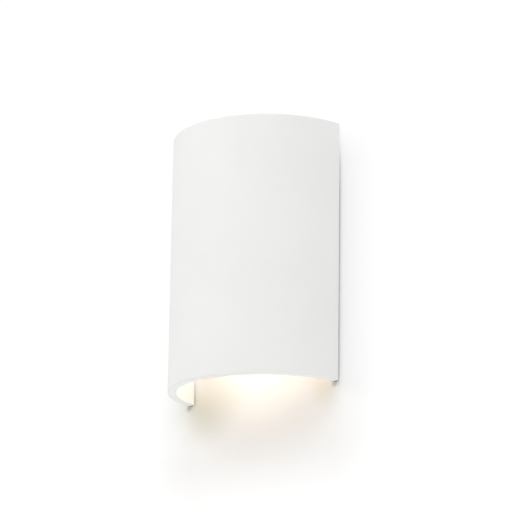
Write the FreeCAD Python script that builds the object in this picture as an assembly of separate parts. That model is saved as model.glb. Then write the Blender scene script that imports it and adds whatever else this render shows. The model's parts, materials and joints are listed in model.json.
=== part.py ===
import FreeCAD, Part
import math
import os

# Half-round plaster wall light, open at the top and at the bottom.
# Millimetres. The wall is the plane y = 0, the room is on the -Y side,
# +X is to the right for somebody facing the wall, +Z is up.
# The origin is on the wall, at the centre of the two wall-screw slots.

V = FreeCAD.Vector
PI = math.pi

# ---------------------------------------------------------------- dimensions
# shade: a shell cut from a cylinder, standing a little off the wall
SHADE_R = 75.31          # outer radius
SHADE_CY = 5.31          # the cylinder's axis lies this far behind the wall plane
SHADE_T = 7.0            # wall thickness
SHADE_HALF_H = 100.0     # half of the 200 mm height
SHADE_GAP = 1.0          # shadow gap between the shade and the wall
SHADE_EDGE_R = 1.0       # softened arrises
LUG_X = 50.0             # fixing studs, left and right of the centre
LUG_BACK = -4.3          # rear face of the cast lugs
LUG_FRONT = -14.3        # front face of the cast lugs
LUG_HALF_H = 14.0
BUSH_R = 4.0
BUSH_BORE_R = 2.3
SEAL_IN = 2.2            # foam seals behind the shade's rear edges, this far from the inner face
SEAL_OUT = 1.9           # and this far from the outer face
SEAL_BOTTOM = -99.9
SEAL_TOP = 52.0

# wall plate
PLATE_T = 1.5
PLATE_HALF_W = 60.0
PLATE_TOP = 36.0
PLATE_BOTTOM = -56.0
PLATE_CORNER_R = 7.0
SLOT_X = 30.0            # wall-screw slots, 60 mm apart
SLOT_HALF_W = 2.5
SLOT_LEN = 12.0
ENTRY_X, ENTRY_Z = -18.0, -15.0
ENTRY_HOLE_R = 6.5
GROMMET_BORE_R = 4.5
GROMMET_FLANGE_R = 8.0

# studs and what is on them
STUD_R = 2.0
STUD_END = -25.0
STUD_HEAD_R = 3.2
STUD_HEAD_T = 0.8
SPACER_R = 6.0
SPACER_FRONT = -4.0
NUT_WASHER_R = 5.5
NUT_WASHER_FRONT = -15.3
NUT_BACK = -15.6
NUT_FRONT = -23.1
NUT_R = 6.5
NUT_BORE_R = 2.05        # running fit on the stud
NUT_TEETH = 28

# lamp bracket
BRACKET_HALF_W = 12.0
BRACKET_T = 1.5
BRACKET_FRONT = -51.5
BRACKET_TOP = 27.0
BRACKET_SCREW_Z = (12.0, 21.0)

# lampholders, back to back on the bracket
LAMP_Y = -33.0
HOLDER_R = 9.5
HOLDER_H = 17.0
HOLDER_FLANGE_T = 5.0
HOLDER_EAR_Y = 13.4      # ear holes in front of and behind the lamp axis
HOLDER_EAR_R = 4.0
CAVITY_R = 7.5
CAVITY_H = 5.4
PIN_X = 4.5              # lamp pins, 9 mm apart
PIN_WIRE_R = 0.4
PIN_LOOP_R = 0.9
PIN_LEN = 8.0
PIN_SLOT_HALF_X = 1.3
PIN_SLOT_HALF_Y = 1.9
LEAD_Z = 3.6             # height of the leads above the bracket's mid plane
LEAD_Y = 3.0             # leads in front of and behind the lamp axis

# lamps
SEAT_GAP = 0.3
LAMP_BASE_H = 12.0
LAMP_BASE_HALF_X = 7.0
LAMP_BASE_HALF_Y = 4.6
LAMP_R = 8.0
LAMP_GLASS_T = 0.9
LAMP_GLASS_H = 36.0

# terminal block
TB_HALF_X = 8.0
TB_TOP, TB_BOTTOM = -19.0, -49.0
TB_FRONT = -14.0
TB_POLES_Z = (-24.0, -34.0, -44.0)
TUBE_Y = -8.0
TUBE_R = 2.4
TUBE_BORE_R = 1.5
TUBE_HALF_L = 7.0
TS_X = 3.6               # clamp screws either side of the middle
TS_R = 1.2
TS_HEAD_R = 1.7

# wiring
LEAD_R = 0.6
EARTH_WIRE_R = 0.9
EARTH_X, EARTH_Z = 30.0, -22.0

HALF_T = BRACKET_T / 2.0


# ------------------------------------------------------------------ helpers
def box(x0, x1, y0, y1, z0, z1):
    return Part.makeBox(x1 - x0, y1 - y0, z1 - z0, V(x0, y0, z0))


def cyl(r, a, b):
    """Cylinder of radius r from point a to point b."""
    a, b = V(*a), V(*b)
    d = b.sub(a)
    return Part.makeCylinder(r, d.Length, a, d)


def tube(ro, ri, a, b):
    return cyl(ro, a, b).cut(cyl(ri, a, b))


def fuse(first, *rest):
    return first.fuse(list(rest)).removeSplitter() if rest else first


def rounded_plate(x0, x1, z0, z1, y0, y1, r):
    """Plate in the XZ plane with round corners, from y0 to y1."""
    s = box(x0, x1, y0, y1, z0, z1)
    edges = [e for e in s.Edges if abs(e.tangentAt(e.FirstParameter).y) > 0.99]
    return s.makeFillet(r, edges)


def prism(points, z0, z1):
    """Closed XY polygon extruded from z0 to z1."""
    pts = [V(x, y, z0) for x, y in points]
    face = Part.Face(Part.makePolygon(pts + [pts[0]]))
    return face.extrude(V(0, 0, z1 - z0))


def stadium_y(cx, cz, half_len, r, y0, y1):
    """Slot cutter along Y: long axis along X."""
    s = box(cx - half_len + r, cx + half_len - r, y0, y1, cz - r, cz + r)
    s = s.fuse(cyl(r, (cx - half_len + r, y0, cz), (cx - half_len + r, y1, cz)))
    return s.fuse(cyl(r, (cx + half_len - r, y0, cz), (cx + half_len - r, y1, cz)))


def hexagon(across_flats, cx, cy, z0, z1):
    r = across_flats / math.sqrt(3.0)
    return prism([(cx + r * math.cos(PI / 3 * k), cy + r * math.sin(PI / 3 * k))
                  for k in range(6)], z0, z1)


def route(points, share=0.45):
    """Straight runs joined by tangent arcs; also the path's length and tightest radius."""
    p = [V(*q) for q in points]
    edges, length, tightest = [], 0.0, 1e9
    start = p[0]
    for i in range(1, len(p) - 1):
        a = p[i - 1].sub(p[i])
        b = p[i + 1].sub(p[i])
        run = min(a.Length, b.Length)
        a.normalize()
        b.normalize()
        turn = PI - a.getAngle(b)
        reach = share * run
        radius = reach / math.tan(turn / 2.0)
        t0 = p[i].add(V(a).multiply(reach))
        t1 = p[i].add(V(b).multiply(reach))
        mid_dir = a.add(b)
        mid_dir.normalize()
        centre_dist = radius / math.cos(turn / 2.0)
        mid = p[i].add(V(mid_dir).multiply(centre_dist - radius))
        edges.append(Part.LineSegment(start, t0).toShape())
        edges.append(Part.Arc(t0, mid, t1).toShape())
        length += start.sub(t0).Length + radius * turn
        tightest = min(tightest, radius)
        start = t1
    edges.append(Part.LineSegment(start, p[-1]).toShape())
    length += start.sub(p[-1]).Length
    return Part.Wire(edges), length, tightest


def wire_solid(name, points, r):
    path, length, tightest = route(points)
    d = V(*points[1]).sub(V(*points[0]))
    profile = Part.Wire([Part.Circle(V(*points[0]), d, r).toShape()])
    s = path.makePipeShell([profile], True, False)
    want = PI * r * r * length
    print("%-20s length %.1f radius %.1f volume %.3f of %.3f"
          % (name, length, tightest, s.Volume, want))
    return s


def mirrored(shape):
    """The same piece on the other side of the bracket."""
    return shape.mirror(V(0, 0, 0), V(0, 0, 1))


def flip_x(shape):
    return shape.mirror(V(0, 0, 0), V(1, 0, 0))


NODES = {}


def keep(name, *solids):
    flat = []
    for s in solids:
        flat.extend(s.Solids)
    NODES[name] = flat[0] if len(flat) == 1 else Part.makeCompound(flat)


# -------------------------------------------------------------------- shade
outer = cyl(SHADE_R, (0, SHADE_CY, -SHADE_HALF_H), (0, SHADE_CY, SHADE_HALF_H))
inner = cyl(SHADE_R - SHADE_T, (0, SHADE_CY, -SHADE_HALF_H - 1),
            (0, SHADE_CY, SHADE_HALF_H + 1))
behind = box(-100, 100, -SHADE_GAP, 100, -SHADE_HALF_H - 1, SHADE_HALF_H + 1)
shell = outer.cut(inner).cut(behind)
shell = shell.makeFillet(SHADE_EDGE_R, shell.Edges)

# lugs cast on the inside, left and right, with a sloped web into the shell
lug = prism([(LUG_X - 7.5, LUG_BACK), (70.5, LUG_BACK), (66.0, -24.0), (61.0, -24.0),
             (58.0, LUG_FRONT), (LUG_X - 7.5, LUG_FRONT)], -LUG_HALF_H, LUG_HALF_H)
lug_edges = [e for e in lug.Edges
             if abs(e.BoundBox.XMax - (LUG_X - 7.5)) < 1e-3 and e.BoundBox.ZLength > 1]
lug = lug.makeFillet(3.0, lug_edges)
shell = shell.fuse([lug, flip_x(lug)]).removeSplitter()
for s in (-1, 1):
    shell = shell.cut(cyl(BUSH_R, (s * LUG_X, LUG_BACK + 1, 0), (s * LUG_X, LUG_FRONT - 1, 0)))
keep("plaster_shade", shell)

keep("lug_bushes", *[tube(BUSH_R - 0.03, BUSH_BORE_R, (s * LUG_X, LUG_BACK, 0),
                          (s * LUG_X, LUG_FRONT, 0)) for s in (-1, 1)])
keep("nut_washers", *[tube(NUT_WASHER_R, BUSH_BORE_R, (s * LUG_X, LUG_FRONT, 0),
                           (s * LUG_X, NUT_WASHER_FRONT, 0)) for s in (-1, 1)])

# self-adhesive foam strips on the rear edges: they close the shadow gap to side light
seals = []
for s in (-1, 1):
    y = SHADE_CY + SHADE_GAP
    x_in = math.sqrt((SHADE_R - SHADE_T) ** 2 - y ** 2) + SEAL_IN
    x_out = math.sqrt(SHADE_R ** 2 - y ** 2) - SEAL_OUT
    strip = box(x_in, x_out, -SHADE_GAP, 0.0, SEAL_BOTTOM, SEAL_TOP)
    strip = strip.makeFillet(0.5, [e for e in strip.Edges if e.BoundBox.YLength > 0.5])
    seals.append(strip if s > 0 else flip_x(strip))
keep("edge_seals", *seals)


# --------------------------------------------------------------- thumb nuts
def thumb_nut(cx):
    """Knurled nut: toothed rim, plain collar towards the washer, chamfered bore."""
    n = NUT_TEETH
    pts = []
    for k in range(n):
        for off, rr in ((0.0, NUT_R), (0.32, NUT_R), (0.5, NUT_R - 0.45), (0.82, NUT_R - 0.45)):
            t = 2 * PI * (k + off) / n
            pts.append(V(cx + rr * math.cos(t), NUT_BACK - 2.0, rr * math.sin(t)))
    face = Part.Face(Part.makePolygon(pts + [pts[0]]))
    rim = face.extrude(V(0, NUT_FRONT - (NUT_BACK - 2.0), 0))
    # both rims of the knurl are chamfered by a turned profile
    turned = Part.makePolygon([V(cx, NUT_BACK - 2.0, 0), V(cx + NUT_R - 0.5, NUT_BACK - 2.0, 0),
                               V(cx + NUT_R + 0.01, NUT_BACK - 2.5, 0),
                               V(cx + NUT_R + 0.01, NUT_FRONT + 0.6, 0),
                               V(cx + NUT_R - 0.6, NUT_FRONT, 0), V(cx, NUT_FRONT, 0),
                               V(cx, NUT_BACK - 2.0, 0)])
    turned = Part.Face(turned).revolve(V(cx, 0, 0), V(0, 1, 0), 360)
    rim = rim.common(turned)
    collar = cyl(NUT_R - 1.7, (cx, NUT_BACK, 0), (cx, NUT_BACK - 2.2, 0))
    nut = rim.fuse(collar).removeSplitter()
    nut = nut.cut(cyl(NUT_BORE_R, (cx, NUT_BACK + 1, 0), (cx, NUT_FRONT - 1, 0)))
    mouth = Part.makeCone(NUT_BORE_R + 0.7, NUT_BORE_R - 0.1, 0.8, V(cx, NUT_FRONT, 0), V(0, 1, 0))
    return nut.cut(mouth)


keep("thumb_nut_left", thumb_nut(-LUG_X))
keep("thumb_nut_right", thumb_nut(LUG_X))

# --------------------------------------------------------------- wall plate
plate = rounded_plate(-PLATE_HALF_W, PLATE_HALF_W, PLATE_BOTTOM, PLATE_TOP, -PLATE_T, 0.0,
                      PLATE_CORNER_R)
cutters = [stadium_y(s * SLOT_X, 0, SLOT_LEN / 2, SLOT_HALF_W, -PLATE_T - 1, 1) for s in (-1, 1)]
for s in (-1, 1):
    cutters.append(cyl(STUD_R + 0.02, (s * LUG_X, -PLATE_T - 1, 0), (s * LUG_X, 1, 0)))
    cutters.append(cyl(STUD_HEAD_R + 0.02, (s * LUG_X, -STUD_HEAD_T, 0), (s * LUG_X, 1, 0)))
cutters.append(cyl(ENTRY_HOLE_R, (ENTRY_X, -PLATE_T - 1, ENTRY_Z), (ENTRY_X, 1, ENTRY_Z)))
for z in BRACKET_SCREW_Z:
    cutters.append(cyl(2.02, (0, -PLATE_T - 1, z), (0, 1, z)))
cutters.append(cyl(1.52, (0, -PLATE_T - 1, -29.0), (0, 1, -29.0)))
cutters.append(cyl(1.52, (0, -PLATE_T - 1, -39.0), (0, 1, -39.0)))
cutters.append(cyl(2.02, (EARTH_X, -PLATE_T - 1, EARTH_Z), (EARTH_X, 1, EARTH_Z)))
for c in cutters:
    plate = plate.cut(c)
keep("wall_plate", plate)

# rubber grommet that lines the supply entry, flush with the wall at the back
g = Part.makePolygon([V(GROMMET_BORE_R, -0.1, 0), V(ENTRY_HOLE_R - 0.03, -0.1, 0),
                      V(ENTRY_HOLE_R - 0.03, -PLATE_T, 0), V(GROMMET_FLANGE_R, -PLATE_T, 0),
                      V(GROMMET_FLANGE_R, -2.6, 0), V(GROMMET_FLANGE_R - 0.8, -3.4, 0),
                      V(GROMMET_BORE_R, -3.4, 0), V(GROMMET_BORE_R, -0.1, 0)])
g = Part.Face(g).revolve(V(0, 0, 0), V(0, 1, 0), 360)
g.translate(V(ENTRY_X, 0, ENTRY_Z))
keep("cable_grommet", g)

# studs with flush heads, and the spacers that set the shadow gap
studs = []
for s in (-1, 1):
    p = Part.makePolygon([V(0, 0, 0), V(STUD_HEAD_R, 0, 0), V(STUD_HEAD_R, -STUD_HEAD_T, 0),
                          V(STUD_R, -STUD_HEAD_T, 0), V(STUD_R, STUD_END + 0.7, 0),
                          V(STUD_R - 0.7, STUD_END, 0), V(0, STUD_END, 0), V(0, 0, 0)])
    st = Part.Face(p).revolve(V(0, 0, 0), V(0, 1, 0), 360)
    st.translate(V(s * LUG_X, 0, 0))
    studs.append(st)
keep("shade_studs", *studs)
keep("stud_spacers", *[tube(SPACER_R, STUD_R + 0.1, (s * LUG_X, -PLATE_T, 0),
                            (s * LUG_X, SPACER_FRONT, 0)) for s in (-1, 1)])

# ------------------------------------------------------------- lamp bracket
# folded strip: a foot on the wall plate and a shelf that carries the lampholders
bend_in = 2.0
bend_out = bend_in + BRACKET_T
yb = -PLATE_T
prof = [
    Part.LineSegment(V(0, yb, BRACKET_TOP), V(0, yb, -HALF_T + bend_out)).toShape(),
    Part.Arc(V(0, yb, -HALF_T + bend_out),
             V(0, yb - bend_out * (1 - math.cos(PI / 4)),
               -HALF_T + bend_out * (1 - math.sin(PI / 4))),
             V(0, yb - bend_out, -HALF_T)).toShape(),
    Part.LineSegment(V(0, yb - bend_out, -HALF_T), V(0, BRACKET_FRONT, -HALF_T)).toShape(),
    Part.LineSegment(V(0, BRACKET_FRONT, -HALF_T), V(0, BRACKET_FRONT, HALF_T)).toShape(),
    Part.LineSegment(V(0, BRACKET_FRONT, HALF_T), V(0, yb - bend_out, HALF_T)).toShape(),
    Part.Arc(V(0, yb - bend_out, HALF_T),
             V(0, yb - bend_out + bend_in * math.sin(PI / 4),
               HALF_T + bend_in * (1 - math.cos(PI / 4))),
             V(0, yb - BRACKET_T, HALF_T + bend_in)).toShape(),
    Part.LineSegment(V(0, yb - BRACKET_T, HALF_T + bend_in),
                     V(0, yb - BRACKET_T, BRACKET_TOP)).toShape(),
    Part.LineSegment(V(0, yb - BRACKET_T, BRACKET_TOP), V(0, yb, BRACKET_TOP)).toShape(),
]
bracket = Part.Face(Part.Wire(prof)).extrude(V(2 * BRACKET_HALF_W, 0, 0))
bracket.translate(V(-BRACKET_HALF_W, 0, 0))
corner = [e for e in bracket.Edges
          if (abs(e.BoundBox.YMax - BRACKET_FRONT) < 1e-3 and abs(e.BoundBox.ZLength - BRACKET_T) < 1e-3)
          or (abs(e.BoundBox.ZMin - BRACKET_TOP) < 1e-3 and abs(e.BoundBox.YLength - BRACKET_T) < 1e-3)]
bracket = bracket.makeFillet(4.0, corner)
for z in BRACKET_SCREW_Z:
    bracket = bracket.cut(cyl(2.15, (0, -10, z), (0, 1, z)))
for s in (-1, 1):
    y = LAMP_Y + s * HOLDER_EAR_Y
    bracket = bracket.cut(cyl(1.7, (0, y, -5), (0, y, 5)))
# cooling hole between the two lampholders
bracket = bracket.cut(cyl(4.0, (0, LAMP_Y, -5), (0, LAMP_Y, 5)))
keep("lamp_bracket", bracket)


def pan_screw(r, head_r, head_h, recess_r):
    """Screw along -Z with its head on top, head seat at z = 0, with a cross recess."""
    def make(length):
        head = Part.makeCylinder(head_r, head_h, V(0, 0, 0), V(0, 0, 1))
        top = [e for e in head.Edges if abs(e.BoundBox.ZMin - head_h) < 1e-3
               and e.BoundBox.XLength > head_r]
        head = head.makeFillet(head_h * 0.45, top)
        shank = Part.makeCylinder(r, length - 0.4, V(0, 0, 0), V(0, 0, -1))
        tip = Part.makeCone(r, r - 0.35, 0.4, V(0, 0, -(length - 0.4)), V(0, 0, -1))
        s = head.fuse([shank, tip]).removeSplitter()
        w = recess_r * 0.32
        d = head_h * 0.6
        a = box(-recess_r, recess_r, -w / 2, w / 2, head_h - d, head_h + 1)
        b = box(-w / 2, w / 2, -recess_r, recess_r, head_h - d, head_h + 1)
        return s.cut(a).cut(b)
    return make


def along(shape, direction, at):
    """Turns a piece made along +Z so that its head points in direction, then places it."""
    s = shape.copy()
    s.Placement = FreeCAD.Placement(V(*at), FreeCAD.Rotation(V(0, 0, 1), V(*direction)))
    return s


m4 = pan_screw(1.97, 4.0, 2.4, 2.2)
m3 = pan_screw(1.5, 2.9, 1.9, 1.7)
keep("bracket_screws", *[along(m4(2 * PLATE_T - 0.2), (0, -1, 0), (0, -PLATE_T - BRACKET_T, z))
                         for z in BRACKET_SCREW_Z])

# ------------------------------------------------------------- lampholders
z0 = HALF_T
holder = cyl(HOLDER_R, (0, LAMP_Y, z0), (0, LAMP_Y, z0 + HOLDER_H))
rim = [e for e in holder.Edges if abs(e.BoundBox.ZMin - (z0 + HOLDER_H)) < 1e-3
       and e.BoundBox.XLength > 10]
holder = holder.makeFillet(1.2, rim)
ear = box(-HOLDER_EAR_R, HOLDER_EAR_R, LAMP_Y - HOLDER_EAR_Y, LAMP_Y + HOLDER_EAR_Y,
          z0, z0 + HOLDER_FLANGE_T)
ears = ear.fuse([cyl(HOLDER_EAR_R, (0, LAMP_Y + s * HOLDER_EAR_Y, z0),
                     (0, LAMP_Y + s * HOLDER_EAR_Y, z0 + HOLDER_FLANGE_T)) for s in (-1, 1)])
holder = holder.fuse([ears, cyl(HOLDER_R + 1.0, (0, LAMP_Y, z0),
                                (0, LAMP_Y, z0 + HOLDER_FLANGE_T))]).removeSplitter()
holder = holder.cut(cyl(CAVITY_R, (0, LAMP_Y, z0 - 1), (0, LAMP_Y, z0 + CAVITY_H)))
for s in (-1, 1):
    slot = box(s * PIN_X - PIN_SLOT_HALF_X, s * PIN_X + PIN_SLOT_HALF_X,
               LAMP_Y - PIN_SLOT_HALF_Y, LAMP_Y + PIN_SLOT_HALF_Y, z0 + 2, z0 + HOLDER_H + 1)
    holder = holder.cut(slot)
    holder = holder.cut(cyl(1.65, (0, LAMP_Y + s * HOLDER_EAR_Y, z0 - 1),
                            (0, LAMP_Y + s * HOLDER_EAR_Y, z0 + HOLDER_FLANGE_T + 1)))
    holder = holder.cut(cyl(LEAD_R + 0.15, (5, LAMP_Y + s * LEAD_Y, LEAD_Z),
                            (12, LAMP_Y + s * LEAD_Y, LEAD_Z)))
# key groove across the mouth between the pin slots
holder = holder.cut(box(-1.0, 1.0, LAMP_Y - 12, LAMP_Y + 12, z0 + HOLDER_H - 1.2, z0 + HOLDER_H + 1))
keep("upper_lampholder", holder)
keep("lower_lampholder", mirrored(holder))


def contact(s):
    """Spring leaf in the pin slot, with a crimp barrel for the lead; s is the side."""
    yl = LAMP_Y - s * LEAD_Y
    x_in, x_out = s * (PIN_X + 0.8), s * (PIN_X + 1.2)
    xa, xb = min(x_in, x_out), max(x_in, x_out)
    leaf = box(xa, xb, LAMP_Y - 1.3, LAMP_Y + 1.3, z0 + 1.2, z0 + 14.0)
    tail = box(xa, xb, min(yl, LAMP_Y), max(yl, LAMP_Y), z0 + 1.2, z0 + 2.4)
    xe = s * (PIN_X + 1.5)
    xs = s * (PIN_X - 1.7)
    barrel = cyl(1.1, (xs, yl, LEAD_Z), (xe, yl, LEAD_Z))
    c = leaf.fuse([tail, barrel]).removeSplitter()
    return c.cut(cyl(LEAD_R + 0.03, (xs - 1, yl, LEAD_Z), (xs + 9, yl, LEAD_Z))
                 if s > 0 else cyl(LEAD_R + 0.03, (xe - 1, yl, LEAD_Z), (xs + 1, yl, LEAD_Z)))


contacts = [contact(-1), contact(1)]
keep("upper_contacts", *contacts)
keep("lower_contacts", *[mirrored(c) for c in contacts])

# long screws clamp both lampholders on the bracket
ear_top = z0 + HOLDER_FLANGE_T
ys = [LAMP_Y - HOLDER_EAR_Y, LAMP_Y + HOLDER_EAR_Y]
keep("holder_washers", *[tube(3.3, 1.6, (0, y, ear_top), (0, y, ear_top + 0.6)) for y in ys],
     *[tube(3.3, 1.6, (0, y, -ear_top), (0, y, -ear_top - 0.6)) for y in ys])
keep("holder_screws", *[along(m3(2 * ear_top + 0.6 + 4.4), (0, 0, 1), (0, y, ear_top + 0.6))
                        for y in ys])
nuts = []
for y in ys:
    n = hexagon(5.5, 0, y, -ear_top - 0.6 - 2.4, -ear_top - 0.6)
    nuts.append(n.cut(cyl(1.52, (0, y, -ear_top - 5), (0, y, -ear_top + 1))))
keep("holder_nuts", *nuts)


# -------------------------------------------------------------------- lamps
def lamp():
    """The upper lamp: pins, base, glass, light strip and chips."""
    zb = z0 + HOLDER_H + SEAT_GAP
    # base: a flat-sided stub that widens to the collar under the glass
    half = box(-LAMP_BASE_HALF_X, LAMP_BASE_HALF_X, LAMP_Y - LAMP_BASE_HALF_Y,
               LAMP_Y + LAMP_BASE_HALF_Y, zb, zb + LAMP_BASE_H - 3)
    side = [e for e in half.Edges if e.BoundBox.ZLength > 5]
    half = half.makeFillet(2.5, side)
    collar = Part.makeCone(LAMP_R - 1.5, LAMP_R - 0.2, 3.0, V(0, LAMP_Y, zb + LAMP_BASE_H - 5.0),
                           V(0, 0, 1))
    top = cyl(LAMP_R - 0.2, (0, LAMP_Y, zb + LAMP_BASE_H - 2.0), (0, LAMP_Y, zb + LAMP_BASE_H))
    base = half.fuse([collar, top]).removeSplitter()
    # glass: a capsule with a round end, open at the base end
    zg = zb + LAMP_BASE_H

    def dome(r, z_low, z_high):
        stem = cyl(r, (0, LAMP_Y, z_low), (0, LAMP_Y, z_high - r))
        return stem.fuse(Part.makeSphere(r, V(0, LAMP_Y, z_high - r))).removeSplitter()

    glass = dome(LAMP_R, zg, zg + LAMP_GLASS_H)
    glass = glass.cut(dome(LAMP_R - LAMP_GLASS_T, zg - 9, zg + LAMP_GLASS_H - LAMP_GLASS_T))
    glass = glass.common(box(-20, 20, LAMP_Y - 20, LAMP_Y + 20, zg, zg + 60))
    # light strip standing on the base inside the glass, chips on both faces
    strip = box(-4.5, 4.5, LAMP_Y - 0.5, LAMP_Y + 0.5, zg, zg + 27.0)
    chips = []
    for face in (-1, 1):
        for row in range(6):
            for col in (-1, 1):
                ya = LAMP_Y + face * 0.5
                yb2 = LAMP_Y + face * 1.2
                chips.append(box(col * 2.1 - 1.2, col * 2.1 + 1.2, min(ya, yb2), max(ya, yb2),
                                 zg + 2.2 + 4.2 * row, zg + 4.8 + 4.2 * row))
    pins = []
    for s in (-1, 1):
        zt, zl = zb, zb - PIN_LEN + PIN_LOOP_R + PIN_WIRE_R
        a = V(s * PIN_X, LAMP_Y - PIN_LOOP_R, zt)
        b = V(s * PIN_X, LAMP_Y - PIN_LOOP_R, zl)
        m = V(s * PIN_X, LAMP_Y, zl - PIN_LOOP_R)
        c = V(s * PIN_X, LAMP_Y + PIN_LOOP_R, zl)
        d = V(s * PIN_X, LAMP_Y + PIN_LOOP_R, zt)
        path = Part.Wire([Part.LineSegment(a, b).toShape(), Part.Arc(b, m, c).toShape(),
                          Part.LineSegment(c, d).toShape()])
        prof_c = Part.Wire([Part.Circle(a, V(0, 0, 1), PIN_WIRE_R).toShape()])
        pins.append(path.makePipeShell([prof_c], True, False))
    return {"base": [base], "glass": [glass], "strip": [strip], "chips": chips, "pins": pins}


for piece, solids in lamp().items():
    keep("upper_lamp_" + piece, *solids)
    keep("lower_lamp_" + piece, *[mirrored(s) for s in solids])

# ----------------------------------------------------------- terminal block
block = box(-TB_HALF_X, TB_HALF_X, TB_FRONT, -PLATE_T, TB_BOTTOM, TB_TOP)
block = block.makeFillet(0.8, [e for e in block.Edges if e.BoundBox.YMax < -PLATE_T - 0.5])
tubes, clamp_screws = [], []
ts = pan_screw(TS_R, TS_HEAD_R, 1.6, 1.1)
for z in TB_POLES_Z:
    block = block.cut(cyl(TUBE_R + 0.1, (-TB_HALF_X - 1, TUBE_Y, z), (TB_HALF_X + 1, TUBE_Y, z)))
    t = tube(TUBE_R, TUBE_BORE_R, (-TUBE_HALF_L, TUBE_Y, z), (TUBE_HALF_L, TUBE_Y, z))
    for s in (-1, 1):
        block = block.cut(cyl(2.2, (s * TS_X, TB_FRONT - 1, z), (s * TS_X, TUBE_Y, z)))
        t = t.cut(cyl(TS_R + 0.05, (s * TS_X, TUBE_Y, z), (s * TS_X, TUBE_Y - 5, z)))
        clamp_screws.append(along(ts(1.15), (0, -1, 0), (s * TS_X, TUBE_Y - TUBE_R - 0.1, z)))
    tubes.append(t)
# grooves that part the poles, and the fixing holes between them
for z in (-29.0, -39.0):
    block = block.cut(box(-TB_HALF_X - 1, TB_HALF_X + 1, TB_FRONT - 1, TB_FRONT + 3.0, z - 1.6, z + 1.6))
    block = block.cut(cyl(1.7, (0, TB_FRONT - 1, z), (0, 1, z)))
    block = block.cut(cyl(3.0, (0, TB_FRONT - 1, z), (0, TB_FRONT + 5.0, z)))
keep("terminal_block", block)
keep("terminal_tubes", *tubes)
keep("terminal_screws", *clamp_screws)
m3s = pan_screw(1.47, 2.7, 1.6, 1.6)
seat = TB_FRONT + 5.0
keep("block_screws", *[along(m3s(-seat - 0.2), (0, -1, 0), (0, seat, z)) for z in (-29.0, -39.0)])

# -------------------------------------------------------------------- earth
lug_t = 0.8
ring = cyl(4.0, (EARTH_X, -PLATE_T - lug_t, EARTH_Z), (EARTH_X, -PLATE_T, EARTH_Z))
tongue = box(EARTH_X - 1.5, EARTH_X + 1.5, -PLATE_T - lug_t, -PLATE_T, EARTH_Z - 9.0, EARTH_Z)
barrel_y = -PLATE_T - lug_t - 1.0
barrel = cyl(1.7, (EARTH_X, barrel_y, EARTH_Z - 13.0), (EARTH_X, barrel_y, EARTH_Z - 6.0))
barrel = barrel.common(box(EARTH_X - 3, EARTH_X + 3, -9, -PLATE_T, EARTH_Z - 20, EARTH_Z))
earth_lug = ring.fuse([tongue, barrel]).removeSplitter()
earth_lug = earth_lug.cut(cyl(2.15, (EARTH_X, -5, EARTH_Z), (EARTH_X, 0, EARTH_Z)))
earth_lug = earth_lug.cut(cyl(EARTH_WIRE_R + 0.04, (EARTH_X, barrel_y, EARTH_Z - 14.0),
                              (EARTH_X, barrel_y, EARTH_Z - 5.0)))
keep("earth_lug", earth_lug)
washer_back = -PLATE_T - lug_t
teeth = []
for k in range(12):
    for off, rr in ((0.0, 3.9), (0.45, 3.9), (0.5, 3.3), (0.95, 3.3)):
        t = 2 * PI * (k + off) / 12
        teeth.append(V(EARTH_X + rr * math.cos(t), washer_back, EARTH_Z + rr * math.sin(t)))
lock = Part.Face(Part.makePolygon(teeth + [teeth[0]])).extrude(V(0, -0.6, 0))
lock = lock.cut(cyl(2.1, (EARTH_X, -6, EARTH_Z), (EARTH_X, 0, EARTH_Z)))
keep("earth_lock_washer", lock)
keep("earth_screw", along(m4(-(washer_back - 0.6) - 0.2), (0, -1, 0),
                          (EARTH_X, washer_back - 0.6, EARTH_Z)))

# ------------------------------------------------------------------- wiring
# silicone leads, out of the holders on the right and down to the block
zl = TB_POLES_Z
yu, yd = TUBE_Y - 0.72, TUBE_Y + 0.72
LEADS = {
    "upper_live_lead": [(-3.4, -30.0, LEAD_Z), (18.5, -30.0, LEAD_Z), (21.0, -24.0, -7.0),
                        (20.0, -16.0, -18.5), (14.5, yu, zl[0]), (3.6, yu, zl[0])],
    "lower_live_lead": [(-3.4, -30.0, -LEAD_Z), (16.0, -30.0, -LEAD_Z), (17.0, -20.0, -8.5),
                        (16.0, -8.5, -16.5), (12.0, yd, zl[0]), (3.6, yd, zl[0])],
    "upper_neutral_lead": [(3.6, -36.0, LEAD_Z), (19.0, -36.0, LEAD_Z), (21.5, -31.0, -10.0),
                           (20.5, -18.0, -28.0), (14.5, yu, zl[1]), (3.6, yu, zl[1])],
    "lower_neutral_lead": [(3.6, -36.0, -LEAD_Z), (16.0, -36.0, -LEAD_Z), (16.5, -27.0, -15.0),
                           (16.0, -9.5, -25.5), (12.0, yd, zl[1]), (3.6, yd, zl[1])],
}
for name, pts in LEADS.items():
    keep(name, wire_solid(name, pts, LEAD_R))
keep("earth_wire", wire_solid("earth_wire", [
    (3.6, TUBE_Y, zl[2]), (15.0, TUBE_Y, zl[2]), (23.0, -6.0, -47.0),
    (EARTH_X, barrel_y, -43.5), (EARTH_X, barrel_y, EARTH_Z - 8.0)], EARTH_WIRE_R))

# -------------------------------------------------------------------- output
os.makedirs("parts", exist_ok=True)
for name, shape in NODES.items():
    if not shape.isValid():
        print("NOT VALID", name)
    for s in shape.Solids:
        if not s.isClosed() or s.Volume < 0.01:
            print("BAD SOLID", name, s.Volume)
    shape.exportStep("parts/%s.step" % name)
print(len(NODES), "nodes", sum(len(s.Solids) for s in NODES.values()), "solids")
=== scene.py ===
import bpy
import bmesh
import json
import math
from mathutils import Matrix, Vector, noise

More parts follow.
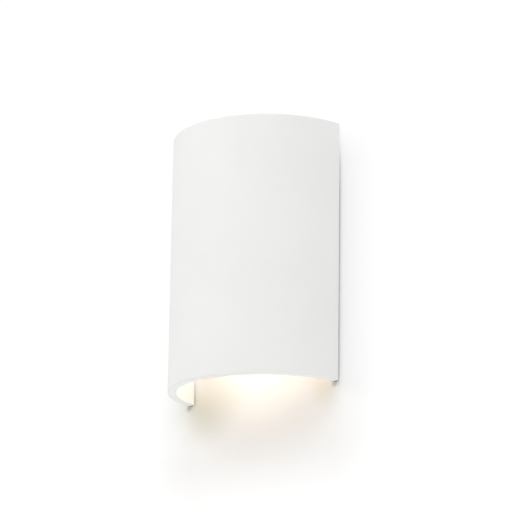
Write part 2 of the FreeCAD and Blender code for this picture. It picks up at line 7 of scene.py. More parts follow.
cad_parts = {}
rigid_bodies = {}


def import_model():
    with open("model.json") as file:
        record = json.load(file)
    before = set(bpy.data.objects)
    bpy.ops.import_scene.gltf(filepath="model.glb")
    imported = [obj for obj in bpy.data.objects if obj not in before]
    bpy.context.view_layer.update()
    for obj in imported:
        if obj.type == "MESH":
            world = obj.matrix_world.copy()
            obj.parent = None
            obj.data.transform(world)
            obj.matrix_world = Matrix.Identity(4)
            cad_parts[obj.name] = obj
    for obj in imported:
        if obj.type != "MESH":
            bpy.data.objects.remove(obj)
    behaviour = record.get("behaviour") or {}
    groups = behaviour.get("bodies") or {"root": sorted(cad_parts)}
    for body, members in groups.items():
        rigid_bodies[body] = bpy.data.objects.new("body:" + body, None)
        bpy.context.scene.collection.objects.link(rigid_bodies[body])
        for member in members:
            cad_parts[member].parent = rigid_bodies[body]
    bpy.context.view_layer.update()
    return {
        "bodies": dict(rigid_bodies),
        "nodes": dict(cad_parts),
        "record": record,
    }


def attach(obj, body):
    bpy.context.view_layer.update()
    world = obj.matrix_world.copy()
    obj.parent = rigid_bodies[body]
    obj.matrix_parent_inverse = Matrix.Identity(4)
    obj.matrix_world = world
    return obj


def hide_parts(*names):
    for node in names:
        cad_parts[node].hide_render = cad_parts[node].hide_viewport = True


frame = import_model()
N = frame["nodes"]
MM = 0.001
scene = bpy.context.scene


# ------------------------------------------------------------------ materials
class Mat:
    """A node material with one Principled shader and short ways to add nodes."""

    def __init__(self, name, **sockets):
        self.m = bpy.data.materials.new(name)
        self.m.use_nodes = True
        self.t = self.m.node_tree
        self.p = self.t.nodes["Principled BSDF"]
        self.out = self.t.nodes["Material Output"]
        for k, v in sockets.items():
            self.p.inputs[k.replace("_", " ")].default_value = v
        self.tc = None

    def node(self, kind, **props):
        n = self.t.nodes.new(kind)
        for k, v in props.items():
            setattr(n, k, v)
        return n

    def link(self, a, b):
        self.t.links.new(a, b)

    def coords(self, scale=(1, 1, 1)):
        if self.tc is None:
            self.tc = self.node("ShaderNodeTexCoord")
        mp = self.node("ShaderNodeMapping")
        mp.inputs["Scale"].default_value = scale
        self.link(self.tc.outputs["Object"], mp.inputs["Vector"])
        return mp.outputs["Vector"]

    def noise(self, scale, detail=3.0, rough=0.5, stretch=(1, 1, 1), distort=0.0):
        n = self.node("ShaderNodeTexNoise")
        n.inputs["Scale"].default_value = scale
        n.inputs["Detail"].default_value = detail
        n.inputs["Roughness"].default_value = rough
        n.inputs["Distortion"].default_value = distort
        self.link(self.coords(stretch), n.inputs["Vector"])
        return n.outputs["Fac"]

    def voronoi(self, scale, feature="F1", stretch=(1, 1, 1), out="Distance", rand=1.0):
        n = self.node("ShaderNodeTexVoronoi", feature=feature)
        n.inputs["Scale"].default_value = scale
        n.inputs["Randomness"].default_value = rand
        self.link(self.coords(stretch), n.inputs["Vector"])
        return n.outputs[out]

    def ramp(self, fac, stops, interp="LINEAR"):
        r = self.node("ShaderNodeValToRGB")
        r.color_ramp.interpolation = interp
        els = r.color_ramp.elements
        while len(els) < len(stops):
            els.new(0.5)
        for e, (pos, col) in zip(els, stops):
            e.position = pos
            e.color = (*col, 1) if not isinstance(col, float) else (col, col, col, 1)
        self.link(fac, r.inputs["Fac"])
        return r.outputs["Color"]

    def span(self, fac, lo, hi, a=0.0, b=1.0):
        r = self.node("ShaderNodeMapRange")
        for k, v in (("From Min", a), ("From Max", b), ("To Min", lo), ("To Max", hi)):
            r.inputs[k].default_value = v
        self.link(fac, r.inputs["Value"])
        return r.outputs["Result"]

    def math(self, op, a, b):
        n = self.node("ShaderNodeMath", operation=op)
        for i, v in enumerate((a, b)):
            if isinstance(v, (int, float)):
                n.inputs[i].default_value = v
            else:
                self.link(v, n.inputs[i])
        return n.outputs[0]

    def mix(self, fac, a, b):
        n = self.node("ShaderNodeMix", data_type="RGBA")
        for i, v in ((0, fac), (6, a), (7, b)):
            if isinstance(v, (int, float)):
                n.inputs[i].default_value = v
            elif isinstance(v, tuple):
                n.inputs[i].default_value = (*v, 1)
            else:
                self.link(v, n.inputs[i])
        return n.outputs[2]

    def bump(self, height, strength, distance):
        b = self.node("ShaderNodeBump")
        b.inputs["Strength"].default_value = strength
        b.inputs["Distance"].default_value = distance
        self.link(height, b.inputs["Height"])
        last = self.p.inputs["Normal"]
        if last.is_linked:
            self.link(last.links[0].from_socket, b.inputs["Normal"])
        self.link(b.outputs["Normal"], last)

    def base(self, sock):
        self.link(sock, self.p.inputs["Base Color"])

    def rough(self, sock):
        self.link(sock, self.p.inputs["Roughness"])


def plaster_material():
    """Cast plaster under matt paint: faint clouds and a fine tooth."""
    k = Mat("plaster_matt_white", Roughness=0.9)
    k.p.inputs["Specular IOR Level"].default_value = 0.25
    cloud = k.noise(22, 4, 0.55)
    fine = k.noise(900, 3, 0.6)
    tone = k.ramp(cloud, [(0.30, (0.868, 0.866, 0.860)), (0.70, (0.888, 0.886, 0.880))])
    k.base(tone)
    k.rough(k.span(fine, 0.82, 0.96, 0.35, 0.65))
    k.bump(fine, 0.22, 0.00010)
    k.bump(k.noise(260, 2, 0.5), 0.16, 0.00022)
    k.bump(k.noise(60, 2, 0.5), 0.10, 0.00045)
    return k.m


def zinc_material():
    """Zinc-plated sheet: a fine grain along X with soft cloudy patches."""
    k = Mat("zinc_plated_sheet", Metallic=1.0)
    grain = k.noise(60, 4, 0.6, (1, 40, 40))
    cloud = k.voronoi(90, out="Color")
    sep = k.node("ShaderNodeSeparateColor")
    k.link(cloud, sep.inputs["Color"])
    tone = k.ramp(sep.outputs[0], [(0.0, (0.60, 0.615, 0.63)), (1.0, (0.74, 0.745, 0.75))])
    stain = k.noise(14, 4, 0.6)
    tone = k.mix(k.span(stain, 0.0, 0.35, 0.45, 0.75), tone, (0.55, 0.54, 0.50))
    k.base(tone)
    k.rough(k.span(grain, 0.28, 0.46))
    k.bump(grain, 0.18, 0.00008)
    k.bump(sep.outputs[0], 0.05, 0.00008)
    return k.m


def screw_material():
    k = Mat("plated_screw_steel", Metallic=1.0)
    a = k.noise(300, 3, 0.6)
    k.base(k.ramp(a, [(0.35, (0.52, 0.52, 0.53)), (0.65, (0.70, 0.70, 0.71))]))
    k.rough(k.span(k.noise(900, 2), 0.22, 0.40))
    k.bump(k.noise(1500, 2), 0.10, 0.00003)
    return k.m


def tinned_material():
    k = Mat("tinned_copper", Metallic=1.0)
    a = k.noise(500, 4, 0.6)
    k.base(k.ramp(a, [(0.3, (0.66, 0.65, 0.63)), (0.7, (0.80, 0.80, 0.79))]))
    k.rough(k.span(a, 0.30, 0.45))
    k.bump(a, 0.12, 0.00003)
    return k.m


def brass_material():
    k = Mat("turned_brass", Metallic=1.0)
    rings = k.noise(120, 3, 0.6, (1, 30, 1))
    tarn = k.noise(90, 4, 0.6)
    tone = k.ramp(tarn, [(0.35, (0.66, 0.47, 0.20)), (0.68, (0.83, 0.64, 0.31))])
    k.base(tone)
    k.rough(k.span(rings, 0.18, 0.36))
    k.bump(rings, 0.15, 0.00004)
    return k.m


def plastic_material(name, dark, light, rough=(0.40, 0.52), texture=1100, strength=0.14):
    """Moulded plastic: a slight flow tone and a spark-eroded texture."""
    k = Mat(name)
    k.base(k.ramp(k.noise(70, 3, 0.5), [(0.35, dark), (0.65, light)]))
    fine = k.noise(texture, 2, 0.5)
    k.rough(k.span(fine, rough[0], rough[1]))
    k.bump(fine, strength, 0.00004)
    return k.m


def rubber_material(name, dark, light, rough=(0.55, 0.75)):
    k = Mat(name)
    k.base(k.ramp(k.noise(240, 4, 0.6), [(0.35, dark), (0.65, light)]))
    fine = k.noise(1400, 3, 0.6)
    k.rough(k.span(fine, rough[0], rough[1]))
    k.bump(fine, 0.16, 0.00005)
    return k.m


def earth_material():
    """Green sleeve with a yellow stripe that winds round it lengthways."""
    k = Mat("earth_green_yellow")
    tc = k.coords()
    sep = k.node("ShaderNodeSeparateXYZ")
    k.link(tc, sep.inputs[0])
    wave = k.math("SINE", k.math("MULTIPLY", k.math("ADD", sep.outputs[1], sep.outputs[2]), 2600.0), 0.0)
    k.base(k.mix(k.span(wave, 0.0, 1.0, 0.05, 0.25), (0.05, 0.26, 0.05), (0.80, 0.66, 0.04)))
    fine = k.noise(1400, 3, 0.6)
    k.rough(k.span(fine, 0.38, 0.55))
    k.bump(fine, 0.12, 0.00004)
    return k.m


def foam_material():
    """Dark closed-cell foam: small cells, matt."""
    k = Mat("grey_foam", Roughness=0.95)
    cells = k.voronoi(1500, out="Distance")
    k.base(k.ramp(cells, [(0.1, (0.020, 0.020, 0.021)), (0.7, (0.060, 0.060, 0.061))]))
    k.bump(cells, 0.5, 0.00012)
    return k.m


def porcelain_material():
    k = Mat("steatite_porcelain", Roughness=0.4)
    cloud = k.noise(160, 4, 0.6)
    tone = k.ramp(cloud, [(0.3, (0.78, 0.755, 0.70)), (0.7, (0.87, 0.85, 0.80))])
    spots = k.span(k.voronoi(420), 0.0, 1.0, 0.05, 0.12)
    k.base(k.mix(spots, (0.55, 0.50, 0.43), tone))
    k.rough(k.span(k.noise(700, 3), 0.30, 0.50))
    k.bump(k.noise(800, 3, 0.6), 0.15, 0.00006)
    return k.m


def glass_material():
    """Lit opal glass: it glows warm, a little unevenly."""
    k = Mat("opal_glass_lit", Roughness=0.32)
    a = k.noise(260, 3, 0.5)
    k.base(k.ramp(a, [(0.3, (0.86, 0.84, 0.78)), (0.7, (0.93, 0.91, 0.86))]))
    k.bump(a, 0.05, 0.00005)
    k.link(k.ramp(a, [(0.3, (1.0, 0.82, 0.58)), (0.7, (1.0, 0.87, 0.66))]),
           k.p.inputs["Emission Color"])
    k.p.inputs["Emission Strength"].default_value = 1.2
    return k.m


def chip_material():
    k = Mat("phosphor_chip", Roughness=0.5)
    a = k.noise(900, 3, 0.5)
    k.base(k.ramp(a, [(0.3, (0.86, 0.62, 0.12)), (0.7, (0.93, 0.74, 0.22))]))
    k.p.inputs["Emission Color"].default_value = (1.0, 0.82, 0.58, 1)
    k.p.inputs["Emission Strength"].default_value = 2.0
    k.bump(a, 0.1, 0.00003)
    return k.m


plaster = plaster_material()
zinc = zinc_material()
screw = screw_material()
brass = brass_material()
MATERIALS = {
    "plaster": plaster,
    "zinc_steel": zinc,
    "screw_steel": screw,
    "tinned_lug": tinned_material(),
    "pin_steel": tinned_material(),
    "brass": brass,
    "nylon": plastic_material("natural_nylon", (0.74, 0.72, 0.66), (0.82, 0.80, 0.75)),
    "black_rubber": rubber_material("black_rubber", (0.012, 0.012, 0.013), (0.03, 0.03, 0.031)),
    "grey_foam": foam_material(),
    "porcelain": porcelain_material(),
    "block_plastic": plastic_material("terminal_polyamide", (0.72, 0.72, 0.69), (0.80, 0.80, 0.77),
                                      (0.28, 0.40)),
    "lamp_plastic": plastic_material("lamp_base_plastic", (0.80, 0.80, 0.78), (0.86, 0.86, 0.84),
                                     (0.30, 0.42)),
    "frosted_glass": glass_material(),
    "strip_ceramic": plastic_material("light_strip", (0.78, 0.78, 0.76), (0.84, 0.84, 0.82)),
    "chip_phosphor": chip_material(),
    "live_sleeve": rubber_material("brown_silicone", (0.16, 0.055, 0.022), (0.22, 0.08, 0.035),
                                   (0.35, 0.5)),
    "neutral_sleeve": rubber_material("blue_silicone", (0.012, 0.06, 0.26), (0.02, 0.09, 0.36),
                                      (0.35, 0.5)),
    "earth_sleeve": earth_material(),
}
slot_of = {s["node"]: s["material_slot"] for s in frame["record"]["subparts"]}
for name, obj in N.items():
    obj.data.materials.clear()
    obj.data.materials.append(MATERIALS[slot_of[name]])


# ------------------------------------------------------------------- helpers
def new_object(name, verts, faces, material, body, smooth=True, replaces=()):
    me = bpy.data.meshes.new(name)
    me.from_pydata(verts, [], faces)
    me.validate()
    ob = bpy.data.objects.new(name, me)
    scene.collection.objects.link(ob)
    me.materials.append(material)
    if smooth:
        me.polygons.foreach_set("use_smooth", [True] * len(me.polygons))
    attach(ob, body)
    if replaces:
        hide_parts(*replaces)
    return ob


def apply_modifiers(ob):
    """Bakes an object's modifiers into its mesh."""
    dg = bpy.context.evaluated_depsgraph_get()
    me = bpy.data.meshes.new_from_object(ob.evaluated_get(dg))
    ob.modifiers.clear()
    old = ob.data
    ob.data = me
    bpy.data.meshes.remove(old)


# --------------------------------------------------------------------- shade
# The shell is lofted along Z from a C-shaped outline with round corners, with
# round arrises above and below, and has the slight unevenness of a cast.
R_OUT, R_IN, CY, REAR, HALF_H = 75.31, 68.31, 5.31, -1.0, 100.0
ARRIS = 1.1


def outline(d, arris):
    """Points of the C outline shrunk by d: outer arc, right end, inner arc, left end."""
    ro, ri, y = R_OUT - d, R_IN + d, REAR - d
    rc = max(arris - d * 0.9, 0.12)
    yc = y - rc
    xo = math.sqrt((ro - rc) ** 2 - (yc - CY) ** 2)
    xi = math.sqrt((ri + rc) ** 2 - (yc - CY) ** 2)
    ao = math.atan2(xo, CY - yc)     # angle from -Y towards +X
    ai = math.atan2(xi, CY - yc)
    n_arc, n_c, n_flat = 200, 7, 3
    outer = [(ro * math.sin(ao * (2 * i / n_arc - 1)), CY - ro * math.cos(ao * (2 * i / n_arc - 1)))
             for i in range(n_arc + 1)]
    inner = [(ri * math.sin(ai * (1 - 2 * i / n_arc)), CY - ri * math.cos(ai * (1 - 2 * i / n_arc)))
             for i in range(n_arc + 1)]

    def corner(cx, a0, a1):
        return [(cx + rc * math.sin(a0 + (a1 - a0) * i / n_c), yc - rc * math.cos(a0 + (a1 - a0) * i / n_c))
                for i in range(1, n_c)]

    flat = [(xo + (xi - xo) * i / (n_flat + 1), y) for i in range(0, n_flat + 2)]
    right = corner(xo, ao, math.pi) + flat
    right += corner(xi, math.pi, math.pi + ai)
    left = [(-x, yy) for x, yy in reversed(right)]
    return outer, right, inner, left


def build_shell():
    n_round = 6
    steps = 132
    lo, hi = -HALF_H + ARRIS, HALF_H - ARRIS
    body = [(lo + (hi - lo) * i / steps, 0.0) for i in range(1, steps)]
    low = [(-HALF_H + ARRIS * (1 - math.sin(math.pi / 2 * i / n_round)),
            ARRIS * (1 - math.cos(math.pi / 2 * i / n_round))) for i in range(n_round, -1, -1)]
    rows = low + body + [(-z, d) for z, d in reversed(low)]
    verts, faces = [], []
    counts = None
    for z, d in rows:
        parts = outline(d, ARRIS)
        if counts is None:
            counts = [len(p) for p in parts]
        for p in parts:
            verts.extend((x, y, z) for x, y in p)
    n = sum(counts)
    for r in range(len(rows) - 1):
        for i in range(n):
            j = (i + 1) % n
            a, b = r * n, (r + 1) * n
            faces.append((a + i, a + j, b + j, b + i))
    # end faces: strips between the outer and the inner arc, one face at each corner
    n_out, n_right, n_in, n_left = counts
    for base, flip in ((0, True), ((len(rows) - 1) * n, False)):
        o = [base + i for i in range(n_out)]
        inn = [base + n_out + n_right + (n_in - 1 - i) for i in range(n_in)]
        strips = [o]
        for s in range(1, 4):
            row = []
            for i in range(n_out):
                a, b = Vector(verts[o[i]]), Vector(verts[inn[i]])
                verts.append(tuple(a.lerp(b, s / 4.0)))
                row.append(len(verts) - 1)
            strips.append(row)
        strips.append(inn)
        for s in range(4):
            for i in range(n_out - 1):
                q = (strips[s][i], strips[s + 1][i], strips[s + 1][i + 1], strips[s][i + 1])
                faces.append(q if flip else tuple(reversed(q)))
        right = [o[-1]] + [base + n_out + i for i in range(n_right)] + [strips[k][-1] for k in (4, 3, 2, 1)]
        left = [inn[0]] + [base + n_out + n_right + n_in + i for i in range(n_left)] + [strips[k][0] for k in (0, 1, 2, 3)]
        faces.append(tuple(reversed(right)) if flip else tuple(right))
        faces.append(tuple(reversed(left)) if flip else tuple(left))
    return verts, faces


def uneven(ob, amount):
    """Moves the points along their normals as a cast surface wanders."""
    me = ob.data
    me.update()
    nor = [v.normal.copy() for v in me.vertices]
    for v, nv in zip(me.vertices, nor):
        p = v.co / MM
        h = 0.55 * noise.noise(p / 52.0) + 0.28 * noise.noise(p / 19.0 + Vector((7, 3, 1)))
        h += 0.12 * noise.noise(p / 6.5 + Vector((1, 9, 4)))
        v.co += nv * (h * amount * MM)


verts, faces = build_shell()
shell = new_object("plaster_shell", [tuple(c * MM for c in v) for v in verts], faces, plaster,
                   "shade", replaces=("plaster_shade",))
bm = bmesh.new()
bm.from_mesh(shell.data)
bmesh.ops.recalc_face_normals(bm, faces=bm.faces)
bm.to_mesh(shell.data)
bm.free()
uneven(shell, 0.16)


def build_lug(side):
    """Cast lug: a bevelled block on a sloped web, with the bore for its bush."""
    pts = [(42.5, -4.3), (71.0, -4.3), (67.5, -24.0), (61.3, -24.0), (58.0, -14.3), (42.5, -14.3)]
    verts, faces = [], []
    n = len(pts)
    for z in (-14.0, 14.0):
        for x, y in pts:
            taper = 1.0 if x > 50 else 0.94
            verts.append((side * x * MM, y * MM, z * taper * MM))
    faces.append(tuple(range(n)))
    faces.append(tuple(range(2 * n - 1, n - 1, -1)))
    for i in range(n):
        j = (i + 1) % n
        faces.append((i, i + n, j + n, j))
    ob = new_object("plaster_lug_left" if side < 0 else "plaster_lug_right", verts, faces, plaster,
                    "shade", replaces=("plaster_shade",))
    bm = bmesh.new()
    bm.from_mesh(ob.data)
    bmesh.ops.recalc_face_normals(bm, faces=bm.faces)
    bm.to_mesh(ob.data)
    bm.free()
    bev = ob.modifiers.new("bevel", "BEVEL")
    bev.width, bev.segments, bev.limit_method, bev.angle_limit = 1.6 * MM, 5, "ANGLE", math.radians(25)
    cut = bpy.data.meshes.new("bore")
    bm = bmesh.new()
    bmesh.ops.create_cone(bm, cap_ends=True, segments=64, radius1=4.0 * MM, radius2=4.0 * MM, depth=30 * MM,
                          matrix=Matrix.Translation((side * 50 * MM, -9.3 * MM, 0)) @ Matrix.Rotation(math.pi / 2, 4, "X"))
    bm.to_mesh(cut)
    bm.free()
    cutter = bpy.data.objects.new("bore_cutter", cut)
    scene.collection.objects.link(cutter)
    boo = ob.modifiers.new("bore", "BOOLEAN")
    boo.object, boo.operation, boo.solver = cutter, "DIFFERENCE", "EXACT"
    bpy.context.view_layer.update()
    apply_modifiers(ob)
    bpy.data.objects.remove(cutter)
    ob.data.polygons.foreach_set("use_smooth", [True] * len(ob.data.polygons))
    ob.data.set_sharp_from_angle(angle=math.radians(38))
    return ob


for side in (-1, 1):
    build_lug(side)


# --------------------------------------------------------------------- studs
def build_stud(side):
    """Threaded stud: a helical thread on its free length, plain at the plate."""
    pitch, crest, root = 0.7, 2.0, 1.62
    y0, y1, n_t = -1.6, -25.0, 36
    per = 8
    rows = int((y0 - y1) / pitch * per)
    cx = side * 50.0
    verts, faces = [], []
    for r in range(rows + 1):
        y = y0 + (y1 - y0) * r / rows
        for i in range(n_t):
            t = 2 * math.pi * i / n_t
            ph = ((y0 - y) / pitch + i / n_t) % 1.0
            tri = min(1.0, max(0.0, 1.25 * (1 - abs(2 * ph - 1)) - 0.125))
            rad = root + (crest - root) * tri
            rad = min(rad, 1.3 + (y - y1))          # chamfered tip
            if y > y0 - 0.8:
                rad = crest - 0.02
            verts.append(((cx + rad * math.cos(t)) * MM, y * MM, rad * math.sin(t) * MM))
    for r in range(rows):
        for i in range(n_t):
            j = (i + 1) % n_t
            faces.append((r * n_t + i, r * n_t + j, (r + 1) * n_t + j, (r + 1) * n_t + i))
    faces.append(tuple(range(n_t - 1, -1, -1)))
    faces.append(tuple(rows * n_t + i for i in range(n_t)))
    # flush head in the back of the plate
    base = len(verts)
    prof = [(0.0, -0.02), (2.6, -0.02), (3.1, -0.08), (3.2, -0.25), (3.2, -0.8), (1.98, -0.8), (1.98, -1.65)]
    for r, (rad, y) in enumerate(prof):
        for i in range(n_t):
            t = 2 * math.pi * i / n_t
            rr = max(rad, 0.001)
            verts.append(((cx + rr * math.cos(t)) * MM, y * MM, rr * math.sin(t) * MM))
    for r in range(len(prof) - 1):
        for i in range(n_t):
            j = (i + 1) % n_t
            a, b = base + r * n_t, base + (r + 1) * n_t
            faces.append((a + i, a + j, b + j, b + i))
    faces.append(tuple(base + i for i in range(n_t - 1, -1, -1)))
    faces.append(tuple(base + (len(prof) - 1) * n_t + i for i in range(n_t)))
    ob = new_object("stud_left" if side < 0 else "stud_right", verts, faces, screw, "fixture",
                    replaces=("shade_studs",))
    bm = bmesh.new()
    bm.from_mesh(ob.data)
    bmesh.ops.recalc_face_normals(bm, faces=bm.faces)
    bm.to_mesh(ob.data)
    bm.free()
    ob.data.set_sharp_from_angle(angle=math.radians(35))
    return ob


for side in (-1, 1):
    build_stud(side)

# --------------------------------------------------------------------- stage
CAM_AZ, CAM_EL, CAM_DIST = 40.704, -15.643, 2.037
FOCAL_PX, ROLL = 2657.9, 0.837
AIM_LEFT_PX, AIM_UP_PX = 8.10, 10.684


def wall_stage():
    """The wall behind the light. Seen from its back it lets everything through."""
    me = bpy.data.meshes.new("stage_wall")
    s = 6.0
    y = 0.00004
    me.from_pydata([(-s, y, -1.6), (s, y, -1.6), (s, y, s), (-s, y, s)], [], [(0, 1, 2, 3)])
    ob = bpy.data.objects.new("stage_wall", me)
    scene.collection.objects.link(ob)
    m = bpy.data.materials.new("stage_wall")
    m.use_nodes = True
    t = m.node_tree
    t.nodes.clear()
    out = t.nodes.new("ShaderNodeOutputMaterial")
    geo = t.nodes.new("ShaderNodeNewGeometry")
    tc = t.nodes.new("ShaderNodeTexCoord")
    sep = t.nodes.new("ShaderNodeSeparateXYZ")
    t.links.new(tc.outputs["Object"], sep.inputs[0])

    def math_node(op, a, b=0.0, c=0.0):
        n = t.nodes.new("ShaderNodeMath")
        n.operation = op
        for i, v in enumerate((a, b, c)):
            if isinstance(v, (int, float)):
                n.inputs[i].default_value = v
            else:
                t.links.new(v, n.inputs[i])
        return n.outputs[0]

    # distance from a box round the light, in metres, in the plane of the wall
    def box_distance(x0, x1, z0, z1):
        dx = math_node("MAXIMUM", math_node("SUBTRACT", x0, sep.outputs[0]),
                       math_node("SUBTRACT", sep.outputs[0], x1))
        dz = math_node("MAXIMUM", math_node("SUBTRACT", z0, sep.outputs[2]),
                       math_node("SUBTRACT", sep.outputs[2], z1))
        dx = math_node("MAXIMUM", dx, 0.0)
        dz = math_node("MAXIMUM", dz, 0.0)
        return math_node("SQRT", math_node("ADD", math_node("MULTIPLY", dx, dx),
                                           math_node("MULTIPLY", dz, dz)))

    def smooth(value, a, b):
        mr = t.nodes.new("ShaderNodeMapRange")
        mr.interpolation_type = "SMOOTHSTEP"
        mr.inputs["From Min"].default_value = a
        mr.inputs["From Max"].default_value = b
        t.links.new(value, mr.inputs["Value"])
        return mr.outputs["Result"]

    to_white = math_node("MINIMUM", smooth(box_distance(*BESIDE_BOX), 0.0, WALL_FADE),
                         smooth(box_distance(*POOL_BOX), 0.0, WALL_FADE))
    white = t.nodes.new("ShaderNodeEmission")
    white.inputs["Color"].default_value = (1, 1, 1, 1)
    white.inputs["Strength"].default_value = 1.03
    paint = t.nodes.new("ShaderNodeBsdfDiffuse")
    # the painted soft shade and contact shadows belong to the shell standing at the wall: they go as the
    # shell comes off it
    from_shell = t.nodes.new("ShaderNodeTexCoord")
    from_shell.object = frame["bodies"]["shade"]
    shell_sep = t.nodes.new("ShaderNodeSeparateXYZ")
    t.links.new(from_shell.outputs["Object"], shell_sep.inputs[0])
    painted_shade_at_wall = math_node("SUBTRACT", 1.0, smooth(shell_sep.outputs[1], 0.002, 0.025))
    tone = None
    # painted shade: each entry multiplies the wall paint by its colour inside a soft ellipse
    for cx, cz, rx, rz, colour in PAINTED_WALL_SHADE:
        u = math_node("DIVIDE", math_node("SUBTRACT", sep.outputs[0], cx), rx)
        v = math_node("DIVIDE", math_node("SUBTRACT", sep.outputs[2], cz), rz)
        far = math_node("SQRT", math_node("ADD", math_node("MULTIPLY", u, u), math_node("MULTIPLY", v, v)))
        painted_shade_mix = t.nodes.new("ShaderNodeMix")
        painted_shade_mix.data_type, painted_shade_mix.blend_type = "RGBA", "MULTIPLY"
        soft = smooth(math_node("SUBTRACT", 1.0, far), 0.0, 1.0)
        t.links.new(math_node("MULTIPLY", soft, painted_shade_at_wall), painted_shade_mix.inputs[0])
        if tone is None:
            painted_shade_mix.inputs[6].default_value = WALL_COLOUR
        else:
            t.links.new(tone, painted_shade_mix.inputs[6])
        painted_shade_mix.inputs[7].default_value = (*colour, 1)
        tone = painted_shade_mix.outputs[2]
    t.links.new(tone, paint.inputs["Color"])
    near = t.nodes.new("ShaderNodeMixShader")
    t.links.new(to_white, near.inputs[0])
    t.links.new(paint.outputs[0], near.inputs[1])
    t.links.new(white.outputs[0], near.inputs[2])
    clear = t.nodes.new("ShaderNodeBsdfTransparent")
    side = t.nodes.new("ShaderNodeMixShader")
    t.links.new(geo.outputs["Backfacing"], side.inputs[0])
    t.links.new(near.outputs[0], side.inputs[1])
    t.links.new(clear.outputs[0], side.inputs[2])
    t.links.new(side.outputs[0], out.inputs["Surface"])
    me.materials.append(m)
    return ob


# near the light the wall is lit paint, and further out it fades to white
BESIDE_BOX = (-0.050, 0.070, -0.100, 0.060)
POOL_BOX = (-0.068, 0.064, -0.140, -0.100)
WALL_FADE = 0.055
WALL_COLOUR = (0.90, 0.90, 0.90, 1)
# painted shade on the wall: a warm painted shade under the lower rim left and right, and a grey painted
# contact shadow close under each foot
PAINTED_WALL_SHADE = ((-0.0576, -0.1021, 0.0482, 0.0357, (0.843, 0.836, 0.751)),
              (0.0600, -0.1000, 0.0180, 0.0220, (0.945, 0.915, 0.830)),
              (-0.0745, -0.1010, 0.0040, 0.0050, (0.62, 0.62, 0.62)),
              (0.0700, -0.1012, 0.0040, 0.0042, (0.62, 0.62, 0.62)))
wall = wall_stage()


def floor_stage():
    me = bpy.data.meshes.new("stage_floor")
    s, z = 6.0, -1.6
    me.from_pydata([(-s, -s, z), (s, -s, z), (s, s, z), (-s, s, z)], [], [(0, 1, 2, 3)])
    ob = bpy.data.objects.new("stage_floor", me)
    scene.collection.objects.link(ob)
    k = Mat("stage_floor", Roughness=0.8)
    k.base(k.ramp(k.noise(2.0, 3), [(0.3, (0.80, 0.80, 0.79)), (0.7, (0.84, 0.84, 0.83))]))
    me.materials.append(k.m)
    return ob


floor = floor_stage()

# -------------------------------------------------------------------- lights
world = bpy.data.worlds.new("studio")
scene.world = world
world.use_nodes = True
bg = world.node_tree.nodes["Background"]
bg.inputs["Color"].default_value = (1.0, 1.0, 1.0, 1)
bg.inputs["Strength"].default_value = 0.698


def area(name, loc, target, size, power, colour=(1, 1, 1)):
    l = bpy.data.lights.new(name, "AREA")
    l.shape, l.size, l.energy, l.color = "DISK", size, power, colour
    ob = bpy.data.objects.new(name, l)
    scene.collection.objects.link(ob)
    ob.location = loc
    ob.rotation_mode = "QUATERNION"
    ob.rotation_quaternion = (Vector(target) - Vector(loc)).to_track_quat("-Z", "Y")
    return ob


area("softbox_left", (-1.3, -2.0, 1.2), (0, 0, 0), 1.4, 3.6)
area("softbox_top", (-0.3, -2.2, 1.6), (0, 0, 0), 1.4, 15.2)
area("softbox_right", (0.9, -2.1, 1.5), (0, 0, 0), 1.4, 7.9)

area("bounce_low", (0.0, -0.35, -1.4), (0, -0.05, -0.1), 0.8, 1.7, (1.0, 0.97, 0.92))

# light from behind reaches the back of the piece, and passes the wall
back = area("back_fill", (0.5, 1.5, 0.6), (0, 0, 0), 1.2, 5.0)
receivers = bpy.data.collections.new("back_fill_receivers")
receivers.objects.link(wall)
back.light_linking.receiver_collection = receivers
receivers.collection_objects[0].light_linking.link_state = "EXCLUDE"
blockers = bpy.data.collections.new("back_fill_blockers")
blockers.objects.link(wall)
back.light_linking.blocker_collection = blockers
blockers.collection_objects[0].light_linking.link_state = "EXCLUDE"

# the two lamps: a warm glow from inside each opal glass, which casts no shadow itself
for w in ("upper", "lower"):
    for piece in ("glass", "strip", "chips"):
        N["%s_lamp_%s" % (w, piece)].visible_shadow = False


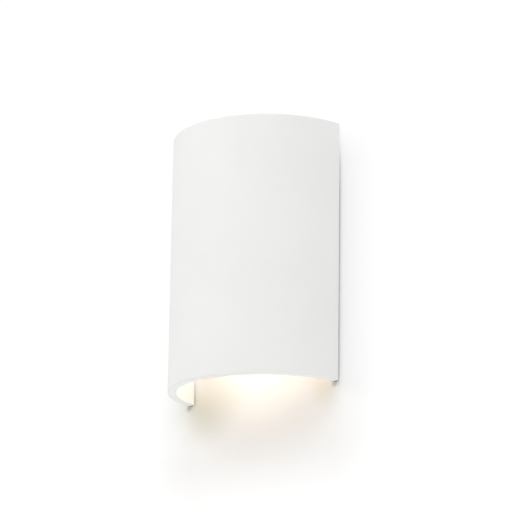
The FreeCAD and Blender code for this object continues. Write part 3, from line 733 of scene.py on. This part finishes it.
def lamp_light(name, y, z, body, colour):
    l = bpy.data.lights.new(name, "POINT")
    l.energy, l.color, l.shadow_soft_size = 0.0165, colour, 0.008
    ob = bpy.data.objects.new(name, l)
    scene.collection.objects.link(ob)
    ob.location = (0, y, z)
    ob.parent = frame["bodies"][body]
    return ob


# amber near the base of the strip, and whiter towards its tip
GLOW = ((-0.027, 0.047, (1.957, 1.698, 0.887)), (-0.026, 0.058, (1.655, 1.296, 1.17)),
        (-0.026, 0.063, (0.768, 0.478, 0.448)))
for w, s in (("upper", 1), ("lower", -1)):
    for k, (y, z, colour) in enumerate(GLOW):
        glow = lamp_light("%s_glow_%d" % (w, k), y, s * z, "%s_lamp" % w, colour)
        glow.data.energy *= 0.45 if w == "upper" else 1.0

# a little more light on the plaster inside the lower left end, none straight on the wall
inner = lamp_light("inner_fill", -0.032, -0.084, "fixture", (0.50, 0.68, 1.0))
inner.data.energy, inner.location.x = 0.0042, -0.042
plaster_only = bpy.data.collections.new("inner_fill_receivers")
plaster_only.objects.link(shell)
inner.light_linking.receiver_collection = plaster_only

# -------------------------------------------------------------------- camera
cam_data = bpy.data.cameras.new("camera")
cam = bpy.data.objects.new("camera", cam_data)
scene.collection.objects.link(cam)
scene.camera = cam
cam_data.sensor_width = 36.0
cam_data.lens = FOCAL_PX * 36.0 / 512.0
a, e = math.radians(CAM_AZ), math.radians(CAM_EL)
away = Vector((math.sin(a) * math.cos(e), -math.cos(a) * math.cos(e), math.sin(e)))
rot = (-away).to_track_quat("-Z", "Y").to_matrix()
rot = rot @ Matrix.Rotation(math.radians(ROLL), 3, "Z")
right, up = rot.col[0], rot.col[1]
aim = (-right * AIM_LEFT_PX + up * AIM_UP_PX) * (CAM_DIST / FOCAL_PX)
cam.location = away * CAM_DIST + aim
cam.rotation_mode = "QUATERNION"
cam.rotation_quaternion = rot.to_quaternion()
cam_data.clip_start, cam_data.clip_end = 0.05, 50.0

scene.view_settings.view_transform = "Standard"
scene.view_settings.look = "None"
scene.view_settings.exposure = 0.0

bpy.context.view_layer.update()
